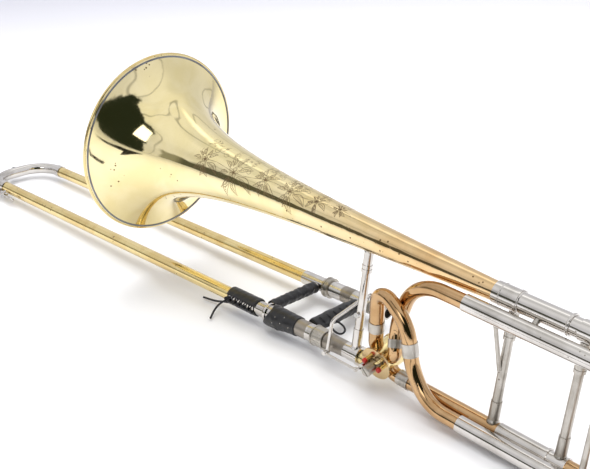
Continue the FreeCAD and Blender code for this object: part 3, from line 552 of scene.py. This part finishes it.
def make_slide_leather():
    """Laced grip on the bell-side outer tube, with the lacing slit towards the front."""
    place = place_along(SLIDE, (-142.0, 0.0, 0.0), (1, 0, 0))
    front = facing(place, SLIDE.to_3x3() @ Vector((0.3, -1.0, 0.12)))
    length = 46.5
    outer_r = 10.5
    bm = bmesh.new()
    crease = folds(3, 9, 0.9)
    sleeve(bm, place, length, outer_r, 8.75, lambda s, t: crease(s, t) * 0.6, gap=(front, 0.36))
    leather_piece = new_piece("slide_leather_grip", bm, "outer_slide", FINISH["black_leather"])
    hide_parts("slide_leather")
    bm = bmesh.new()
    lathe(bm, place, [(0.5, 7.8), (0.5, 8.1), (length - 0.5, 8.1), (length - 0.5, 7.8)], 48)
    new_piece("slide_leather_lining", bm, "outer_slide", FINISH["bright_nickel"],
              smooth=False)
    bm = bmesh.new()
    rungs = 6
    margin = 3.5
    for k in range(rungs):
        s = margin + k * (length - 2 * margin) / (rungs - 1)
        ahead = s + (length - 2 * margin) / (rungs - 1) * 0.8
        arc_strand(bm, place, s, front - 0.5, s, front + 0.5, outer_r, 0.8, 0.3)
        if k < rungs - 1:
            arc_strand(bm, place, s, front + 0.5, ahead, front - 0.5, outer_r, 0.7, 0.6)
    knot = round_point(place, 1.2, front + 0.1, outer_r + 0.1)
    for turn, size in ((0.0, 1.5), (1.2, 1.3)):
        ring = [knot + (SLIDE.to_3x3() @ Vector((0.6 * math.sin(a + turn), 1.9 * math.cos(a),
                                                 size * math.sin(a)))) * MM
                for a in [2 * math.pi * k / 14 for k in range(15)]]
        strand(bm, ring, 0.95 * MM)
    new_piece("slide_leather_lacing", bm, "outer_slide", FINISH["black_lace"])


def make_outer_brace_wrap():
    """Plaited strip wound round the outer slide's brace."""
    place = place_along(SLIDE, (-90.0, 12.5, 0.0), (0, 1, 0))
    length = 71.0
    pitch = 14.0
    crease = folds(11, 8, 0.5)

    def plait(s, t):
        left = math.sin(2 * math.pi * s / pitch + 2 * t)
        right = math.sin(2 * math.pi * s / pitch - 2 * t + 1.4)
        share = 0.25 + 0.55 * min(1.0, s / length)
        return share * max(left, right) - 0.2 + crease(s, t) * 1.1

    bm = bmesh.new()
    sleeve(bm, place, length, 6.5, 3.9, plait, rows=150, steps=72)
    wrap = new_piece("outer_brace_plait", bm, "outer_slide", FINISH["black_leather"])
    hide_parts("outer_brace_wrap")


def make_barrel_sleeve():
    """Loose sleeve on the bell-side barrel: it stands off the barrel's mouth, where its edge is
    cut open at the front, and fits closely at the other end; a few bright studs."""
    place = place_along(SLIDE, (-78.5, 0.0, 0.0), (1, 0, 0))
    front = facing(place, VIEWER)
    low = facing(place, SLIDE.to_3x3() @ Vector((0.1, -1.0, -0.5)))
    length = 47.0
    outer_r = 11.2
    crease = folds(5, 10, 0.8)

    def slack(s, t):
        standing = 1.0 / (1.0 + math.exp((s - 27.0) / 5.0))
        return standing * (1.9 + 1.3 * math.cos(t - low))

    def shape(s, t):
        strap = 0.5 * math.exp(-((s - 15.0 - 5.0 * math.sin(t - front)) / 2.8) ** 2)
        return slack(s, t) + crease(s, t) * 0.6 + strap - 0.2

    bm = bmesh.new()
    sleeve(bm, place, length, outer_r, lambda s, t: 9.9 + 0.8 * slack(s, t), shape,
           first_edge=lambda t: 9.0 * max(0.0, math.cos(t - front + 0.35)) ** 1.5)
    piece = new_piece("barrel_leather", bm, "bell_section", FINISH["black_leather"])
    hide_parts("barrel_sleeve")
    bm = bmesh.new()
    for s, turn in [(17.0, 0.62), (20.0, 0.05), (28.0, 0.4), (31.0, -0.25), (40.0, 0.5)]:
        spot = round_point(place, s, front + turn, outer_r + slack(s, front + turn))
        centre = round_point(place, s, 0.0, 0.0)
        out = (spot - centre).normalized()
        seat = Matrix.Translation(spot) @ out.to_track_quat("Z", "Y").to_matrix().to_4x4()
        lathe(bm, seat, [(-0.3, HUB), (-0.3, 0.62), (0.15, 0.58), (0.36, 0.36), (0.42, HUB)], 16)
    new_piece("barrel_leather_studs", bm, "bell_section", FINISH["bright_nickel"])


def make_inner_brace_wrap():
    """Soft leather wound over the inner brace, wider in the middle."""
    place = place_along(SLIDE, (-24.0, 12.2, 0.0), (0, 1, 0))
    length = 70.6
    crease = folds(23, 12, 1.0)

    def shape(s, t):
        turns = 0.28 * math.sin(2 * math.pi * s / 24.0 + t)
        belly = 1.1 * math.sin(math.pi * min(1.0, s / length)) ** 0.5
        return crease(s, t) + turns + belly - 0.2

    bm = bmesh.new()
    sleeve(bm, place, length, 7.6, 4.6, shape, rows=110, steps=72)
    piece = new_piece("inner_brace_leather", bm, "bell_section", FINISH["black_leather"])
    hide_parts("inner_brace_wrap")
    bm = bmesh.new()
    front = facing(place, VIEWER)
    for k in range(6):
        s = 8.0 + 10.4 * k
        arc_strand(bm, place, s, front - 0.7, s + 3.4, front + 0.3, 8.7, 0.5, 0.25)
    new_piece("inner_brace_stitches", bm, "bell_section", FINISH["black_lace"])


make_slide_leather()
make_outer_brace_wrap()
make_barrel_sleeve()
make_inner_brace_wrap()


# ---------------------------------------------------------------- engraving on the bell
CUT_SCALE = 1.2
CUT_LIFT = 0.05
CUT_STEPS_PER_MM = 1.2
# distance in metres from the bell's axis that lies outside the bell everywhere
OUTSIDE = 0.2


class Engraver:
    """Tapered cut lines on the bell, drawn on its unrolled surface in millimetres: u runs along
    the bell towards the tail, v round it, upwards, from an anchor (x, angle in degrees)."""

    def __init__(self):
        mesh = NODES["bell"].data
        self.tree = BVHTree.FromPolygons([v.co for v in mesh.vertices],
                                         [p.vertices for p in mesh.polygons])
        self.bm = bmesh.new()
        self.rng = random.Random(7)

    def skin(self, x, angle):
        """Point and normal of the bell's outside, and the bell's radius there in millimetres."""
        out = BELL.to_3x3() @ Vector((0.0, -math.cos(angle), math.sin(angle)))
        axis = at(BELL, x, 0.0, BELL_AXIS_UP)
        spot, normal, _, distance = self.tree.ray_cast(axis + out * OUTSIDE, -out)
        if normal.dot(out) < 0:
            normal = -normal
        return spot, normal, (OUTSIDE - distance) / MM

    def place(self, anchor, u, v):
        x, angle = anchor
        radius = self.skin(x + u, math.radians(angle))[2]
        return x + u, math.radians(angle) + v / radius

    def stroke(self, anchor, points, width):
        """Smooth line through (u, v) points, widest in the middle."""
        line = []
        padded = [points[0]] + list(points) + [points[-1]]
        for a, b, c, d in zip(padded, padded[1:], padded[2:], padded[3:]):
            count = max(3, int(math.dist(b, c) * CUT_STEPS_PER_MM))
            for k in range(count):
                t = k / count
                line.append(tuple(0.5 * (2 * b[i] + (c[i] - a[i]) * t
                                         + (2 * a[i] - 5 * b[i] + 4 * c[i] - d[i]) * t * t
                                         + (3 * b[i] - a[i] - 3 * c[i] + d[i]) * t ** 3)
                                  for i in (0, 1)))
        line.append(tuple(points[-1]))
        spots = [self.skin(*self.place(anchor, u, v))[:2] for u, v in line]
        last = None
        for k, (spot, normal) in enumerate(spots):
            way = spots[min(k + 1, len(spots) - 1)][0] - spots[max(k - 1, 0)][0]
            side = normal.cross(way).normalized()
            share = k / (len(spots) - 1)
            taper = 0.25 + 0.75 * math.sin(math.pi * min(1.0, share * 0.9 + 0.1))
            half = CUT_SCALE * width / 2 * taper
            lifted = spot + normal * CUT_LIFT * MM
            pair = (self.bm.verts.new(lifted + side * half * MM),
                    self.bm.verts.new(lifted - side * half * MM))
            if last:
                self.bm.faces.new((last[0], pair[0], pair[1], last[1]))
            last = pair

    def leaf(self, anchor, heading, length, width, bend=0.0, hatch=0):
        """Pointed leaf from the anchor, with a midrib and hatching on one half."""
        head = math.radians(heading)

        def spot(along, across):
            curve = bend * math.sin(math.pi * along) * length
            u = along * length
            v = across * width / 2 + curve
            return (u * math.cos(head) - v * math.sin(head),
                    u * math.sin(head) + v * math.cos(head))

        swell = [(k / 6, math.sin(math.pi * (k / 6) ** 0.8)) for k in range(7)]
        for side in (1, -1):
            self.stroke(anchor, [spot(a, side * w) for a, w in swell], 0.5)
        self.stroke(anchor, [spot(0.0, 0.0), spot(0.4, 0.1), spot(0.85, 0.0)], 0.35)
        for k in range(hatch):
            a = 0.12 + 0.72 * k / max(1, hatch - 1)
            w = math.sin(math.pi * a ** 0.8)
            self.stroke(anchor, [spot(a, 0.0), spot(a + 0.07, -0.45 * w), spot(a + 0.1, -0.92 * w)],
                        0.34)

    def curl(self, anchor, radius, turns, heading, width=0.45):
        """Tendril that winds inwards."""
        points = []
        steps = int(10 * turns)
        for k in range(steps + 1):
            share = k / steps
            turn = math.radians(heading) + 2 * math.pi * turns * share
            r = radius * (1.0 - 0.75 * share)
            points.append((r * math.cos(turn), r * math.sin(turn)))
        self.stroke(anchor, points, width)

    def shade(self, anchor, u_size, v_size, count, heading):
        """Patch of fine crossing cuts."""
        for k in range(count):
            u = self.rng.uniform(0, u_size)
            v = self.rng.uniform(0, v_size)
            turn = math.radians(heading + self.rng.choice((0, 0, 38)) + self.rng.uniform(-8, 8))
            reach = self.rng.uniform(2.2, 4.2)
            self.stroke(anchor, [(u, v), (u + reach / 2 * math.cos(turn), v + reach / 2
                                          * math.sin(turn) + 0.2),
                                 (u + reach * math.cos(turn), v + reach * math.sin(turn))], 0.32)


VINE_START = -182.0
VINE_LEN = 208.0
VINE_STEPS = 16


def vine(share):
    """Place of the stem, as x and angle, climbing round the bell from the flare to the tail."""
    wave = 6.0 * math.sin(5 * math.pi * share)
    return VINE_START + VINE_LEN * share, 26.0 + 38.0 * share + wave


def spray(cut, anchor, size):
    """Five-petalled bloom with leaves drooping below it and smaller ones standing above."""
    for heading, share in ((-164, 0.7), (-128, 0.9), (-92, 1.0), (-58, 1.15), (-24, 1.3),
                           (34, 0.8), (74, 0.65), (118, 0.7), (152, 0.6)):
        length = size * share * cut.rng.uniform(0.85, 1.15)
        turn = heading + cut.rng.uniform(-9, 9)
        x, angle = cut.place(anchor, 0.3 * size * math.cos(math.radians(turn)),
                             0.3 * size * math.sin(math.radians(turn)))
        cut.leaf((x, math.degrees(angle)), turn, length * 0.8, length * 0.27,
                 cut.rng.choice((-0.14, 0.14)), int(length * 0.35))
    for k in range(5):
        cut.leaf(anchor, 20.0 + 72.0 * k, size * 0.3, size * 0.16)


def engrave_bell():
    """Plain foliage band: sprays of leaves and blooms along a waving stem, with tendrils."""
    cut = Engraver()
    for k in range(VINE_STEPS):
        here, there = vine(k / VINE_STEPS), vine((k + 1) / VINE_STEPS)
        turn = math.radians(there[1])
        rise = math.radians(there[1] - here[1]) * cut.skin(there[0], turn)[2]
        cut.stroke(here, [(0, 0), (there[0] - here[0], rise)], 0.4)
        tendril = 4.2 - 2.2 * k / VINE_STEPS
        cut.curl((here[0] + 5.0, here[1] + cut.rng.uniform(14.0, 30.0)), tendril, 1.1,
                 cut.rng.uniform(120.0, 260.0), 0.35)
    for share, size in ((0.05, 17.0), (0.25, 24.0), (0.45, 17.0), (0.62, 19.0), (0.79, 12.0),
                        (0.93, 9.0)):
        x, angle = vine(share)
        spray(cut, (x, angle), size)
        cut.shade((x - size * 0.6, angle + 26.0), 1.4 * size, 0.7 * size, int(2.2 * size), 16.0)
    tree = metal("finish_engraving", (0.34, 0.24, 0.12), (0.22, 0.15, 0.08), (0.4, 0.55))
    new_piece("bell_engraving", cut.bm, "bell_section", tree, smooth=False)


engrave_bell()


# ---------------------------------------------------------------- turned nickel trim
ALONG = (1, 0, 0)
TUNE_R = 9.8
# place along the tube, radius it stands on, half width, height
TUNE_BEADS = [(208.6, 10.6, 0.8, 0.7), (227.4, TUNE_R, 1.3, 1.1), (278.6, TUNE_R, 1.5, 1.2)]


def make_trim():
    """Beads on the bell's ferrule and at both ends of the tuning slide's outer tube."""
    bm = bmesh.new()
    for x, tube_r, half_width, height in TUNE_BEADS:
        lathe(bm, place_along(BELL, (x, 0.0, BELL_AXIS_UP), ALONG),
              bead_profile(tube_r, half_width, height))
    new_piece("tuning_tube_beads", bm, "bell_section", FINISH["bright_nickel"])


make_trim()


# ---------------------------------------------------------------- valve details
VALVE_CENTRE = (87.0, 0.0, 13.0)
VALVE_TILT = math.radians(17.0)


def valve_spot(distance, right=0.0, up=0.0):
    """Point in the bell frame at a distance along the valve's axis and off it."""
    x, y, z = VALVE_CENTRE
    c, s = math.cos(VALVE_TILT), math.sin(VALVE_TILT)
    return (x + right, y + distance * c - up * s, z + distance * s + up * c)


VALVE_WAY = (0.0, math.cos(VALVE_TILT), math.sin(VALVE_TILT))


def half_drum(bm, place, radius, low, high, side, gap):
    """Half of a slotted round head, with a small chamfer at its free end."""
    steps = 20
    layers = []
    for z, r in ((low, radius - 0.9), (low + 0.5, radius - 0.25), (low + 1.1, radius),
                 (high, radius)):
        start = math.asin(gap / 2 / r)
        arc = [start + (math.pi - 2 * start) * k / steps for k in range(steps + 1)]
        layers.append([bm.verts.new(round_point(place, z, side * a, r)) for a in arc])
    for here, there in zip(layers, layers[1:]):
        for k in range(steps + 1):
            m = (k + 1) % (steps + 1)
            bm.faces.new((here[k], here[m], there[m], there[k]))
    bm.faces.new(layers[0])
    bm.faces.new(layers[-1])


def make_valve_details():
    """Slotted head on the stop arm, red bumper heads and the brass bridge over them."""
    head = place_along(BELL, valve_spot(0.0), VALVE_WAY)
    slot_turn = Matrix.Rotation(math.radians(52), 4, "Z")
    bm = bmesh.new()
    for side in (1, -1):
        half_drum(bm, head @ slot_turn, 5.7, -29.0, -17.9, side, 1.3)
    lathe(bm, head, [(-27.5, HUB), (-27.5, 3.4), (-17.8, 3.4), (-17.8, HUB)], 32)
    piece = new_piece("valve_arm_head", bm, "rotor_body", FINISH["dull_nickel"],
                      smooth=False)
    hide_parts("valve_stop_arm_screw")
    bm = bmesh.new()
    for right, up in ((9.44, 1.08), (-8.5, 4.24)):
        seat = place_along(BELL, valve_spot(0.0, right, up), VALVE_WAY)
        lathe(bm, seat, [(-21.2, HUB), (-21.2, 1.9), (-20.7, 2.6), (-19.0, 2.8), (-17.7, 2.7),
                         (-17.7, HUB)], 24)
    new_piece("valve_bumper_heads", bm, "bell_section", FINISH["red_rubber"])
    bm = bmesh.new()
    ends = [at(BELL, *valve_spot(-20.4, r, u)) for r, u in ((11.2, 12.8), (8.4, 10.4), (5.2, 7.8))]
    strand(bm, ends, 1.25 * MM, 12)
    foot = place_along(BELL, valve_spot(0.0, 11.0, 12.6), VALVE_WAY)
    lathe(bm, foot, [(-20.4, HUB), (-20.4, 1.3), (-13.2, 1.3), (-13.2, HUB)], 20)
    new_piece("valve_bumper_bridge", bm, "bell_section", FINISH["yellow_brass"])


make_valve_details()


def ring_profile(low, high, inner_r, outer_r):
    """Ring between two places along a tube, with chamfered outer edges."""
    cut = 0.4
    return [(low, inner_r), (low, outer_r - cut), (low + cut, outer_r), (high - cut, outer_r),
            (high, outer_r - cut), (high, inner_r)]


def make_barrel_collar():
    """Wide dull rings at the mouth of the mouthpiece-side barrel and at the lock nut."""
    bm = bmesh.new()
    far = place_along(SLIDE, (0.0, SLIDE_SPACING, 0.0), ALONG)
    for low, high, radius in ((-79.6, -77.6, 12.2), (-77.6, -73.4, 11.4), (-73.4, -71.4, 12.2)):
        lathe(bm, far, ring_profile(low, high, 9.85, radius), 64)
    new_piece("far_barrel_collar", bm, "bell_section", FINISH["dull_nickel"],
              smooth=False)
    bm = bmesh.new()
    near = place_along(SLIDE, (0.0, 0.0, 0.0), ALONG)
    for low, high in ((-7.4, -5.6), (8.2, 9.9)):
        lathe(bm, near, ring_profile(low, high, 10.0, 11.6), 64)
    new_piece("lock_nut_rings", bm, "lock_nut_body", FINISH["dull_nickel"],
              smooth=False)


make_barrel_collar()


def make_rim_joint():
    """Grey solder line where the bell's edge is rolled over its wire."""
    bm = bmesh.new()
    joint_r = 104.0
    line_r = 1.1
    circle = [(line_r * math.cos(math.pi * k / 5), joint_r + line_r * math.sin(math.pi * k / 5))
              for k in range(10)]
    lathe(bm, place_along(BELL, (-285.2, 0.0, BELL_AXIS_UP), ALONG), circle, 180)
    tree = metal("finish_solder", (0.26, 0.27, 0.30), (0.15, 0.15, 0.17), (0.35, 0.5))
    new_piece("bell_rim_joint", bm, "bell_section", tree)


make_rim_joint()


# ---------------------------------------------------------------- floor and light
def make_floor():
    """Pale ground with painted shade: its tone falls off to lavender grey far behind the slide's bow."""
    half = 30.0
    mesh = bpy.data.meshes.new("floor")
    mesh.from_pydata([(-half, -half, 0), (half, -half, 0), (half, half, 0), (-half, half, 0)], [],
                     [(0, 1, 2, 3)])
    floor = bpy.data.objects.new("floor", mesh)
    floor.location.z = -0.0004
    bpy.context.scene.collection.objects.link(floor)
    tree = Tree("finish_floor")
    tree.set(Specular_IOR_Level=0.15)
    wash = tree.noise(1.2, 2.0, 0.5)
    pale = tree.mix(wash, (0.86, 0.86, 0.88), (0.90, 0.90, 0.91))
    # painted shade: the ground far behind the slide's bow is darkened to lavender grey
    shade_reach = tree.math("SUBTRACT", tree.math("MULTIPLY", tree.axis("Y"), 0.35), tree.axis("X"))
    tree.colour(tree.mix(tree.ramp(shade_reach, 0.9, 2.6), pale, (0.64, 0.64, 0.72)))
    tree.rough(tree.ramp(wash, 0.2, 0.8, 0.6, 0.75))
    paint(floor, tree)


class WorldTree(Tree):
    """The same short calls on the world's node tree."""

    def __init__(self, world):
        self.nodes = world.node_tree.nodes
        self.links = world.node_tree.links
        self.where = self.nodes.new("ShaderNodeTexCoord").outputs["Generated"]

    def band(self, value, low, high, soft):
        rise = self.ramp(value, low - soft, low + soft)
        fall = self.ramp(value, high - soft, high + soft, 1.0, 0.0)
        return self.math("MULTIPLY", rise, fall)

    def patch(self, turn, height, limits, turn_soft, height_soft):
        (left, right), (low, high) = limits
        return self.math("MULTIPLY",
                         self.band(turn, math.radians(left), math.radians(right), turn_soft),
                         self.band(height, math.radians(low), math.radians(high), height_soft))


# parts of the light tent, in degrees: (turn from, turn to), (height from, height to)
OPENING = ((-78, -4), (-12, 47))
AISLE = ((-155, -96), (-12, 17))
WINDOW = ((-77, -55), (20, 41))
STREAK = ((105, 165), (56, 64))


def make_world():
    """Light tent: bright roof with a streak of light, pale walls with a few folds, and on the
    open side a dark opening with a window in it and a low dark aisle beside it."""
    world = bpy.data.worlds.new("studio")
    bpy.context.scene.world = world
    world.use_nodes = True
    tree = WorldTree(world)
    height = tree.math("ARCSINE", tree.axis("Z"))
    turn = tree.math("ARCTAN2", tree.axis("Y"), tree.axis("X"))
    wobble = tree.math("MULTIPLY", tree.math("SUBTRACT", tree.noise(5.0, 4.0, 0.6), 0.5), 0.35)
    bent_turn = tree.math("ADD", turn, wobble)
    bent_height = tree.math("ADD", height, wobble)
    opening = tree.patch(bent_turn, bent_height, OPENING, 0.035, 0.035)
    aisle = tree.patch(bent_turn, bent_height, AISLE, 0.06, 0.04)
    window = tree.patch(turn, height, WINDOW, 0.012, 0.012)
    roof = tree.ramp(height, math.radians(18), math.radians(62))
    walls = tree.mix(roof, (0.82, 0.82, 0.87), (0.94, 0.94, 0.95))
    seam = tree.noise(1.1, 1.0, 0.4)
    fold = tree.band(seam, 0.488, 0.502, 0.005)
    walls = tree.mix(tree.math("MULTIPLY", fold, 0.6), walls, (0.22, 0.22, 0.22))
    sag = tree.ramp(tree.noise(1.7, 1.0, 0.4), 0.40, 0.62)
    walls = tree.mix(tree.math("MULTIPLY", sag, 0.30), walls, (0.45, 0.45, 0.42))
    walls = tree.mix(tree.patch(turn, height, STREAK, 0.25, 0.06), walls, (1.5, 1.5, 1.5))
    deep = tree.mix(tree.band(turn, math.radians(-127), math.radians(-108), 0.05),
                    (0.30, 0.30, 0.26), (0.10, 0.10, 0.08))
    tone = tree.mix(aisle, walls, deep)
    tone = tree.mix(opening, tone, (0.020, 0.026, 0.016))
    tone = tree.mix(window, tone, (2.2, 2.2, 2.2))
    background = tree.nodes["Background"]
    tree.feed(background.inputs["Color"], tone)
    background.inputs["Strength"].default_value = 1.0


def make_flag():
    """Low dark card in front of the horn's near end, which only the polished tubes reflect."""
    mesh = bpy.data.meshes.new("flag")
    edge = [(0.30, -0.62), (0.6, -1.1), (1.1, -1.1), (1.9, -0.6), (1.9, -2.4), (0.3, -2.4)]
    strip = [(0.16, -0.27), (0.46, -0.225), (0.50, -0.25), (0.20, -0.30)]
    card_up = 0.002
    mesh.from_pydata([(x, y, card_up) for x, y in edge + strip], [],
                     [tuple(range(len(edge))), tuple(range(len(edge), len(edge) + len(strip)))])
    flag = bpy.data.objects.new("flag", mesh)
    bpy.context.scene.collection.objects.link(flag)
    tree = Tree("finish_flag")
    tree.set(Roughness=0.9, Specular_IOR_Level=0.0)
    tree.colour(tree.mix(tree.noise(3.0), (0.015, 0.015, 0.015), (0.03, 0.03, 0.03)))
    paint(flag, tree)
    flag.visible_camera = False
    flag.visible_diffuse = False
    flag.visible_shadow = False
    flag.visible_transmission = False


def area_light(name, place, aim, size, power):
    """Soft lamp that the polished metal does not mirror."""
    data = bpy.data.lights.new(name, "AREA")
    data.shape = "RECTANGLE"
    data.size, data.size_y = size
    data.energy = power
    lamp = bpy.data.objects.new(name, data)
    bpy.context.scene.collection.objects.link(lamp)
    lamp.location = place
    way = Vector(aim) - Vector(place)
    lamp.rotation_euler = way.to_track_quat("-Z", "Y").to_euler()
    lamp.visible_glossy = False


make_floor()
make_flag()
make_world()
area_light("key", (-0.6, 0.9, 2.3), (0.0, 0.0, 0.1), (1.8, 2.2), 26.0)
area_light("roof", (0.5, -0.3, 2.4), (0.1, 0.0, 0.1), (2.4, 2.4), 34.0)

scene = bpy.context.scene
scene.view_settings.view_transform = "Standard"
scene.view_settings.look = "None"
scene.view_settings.exposure = 0.0
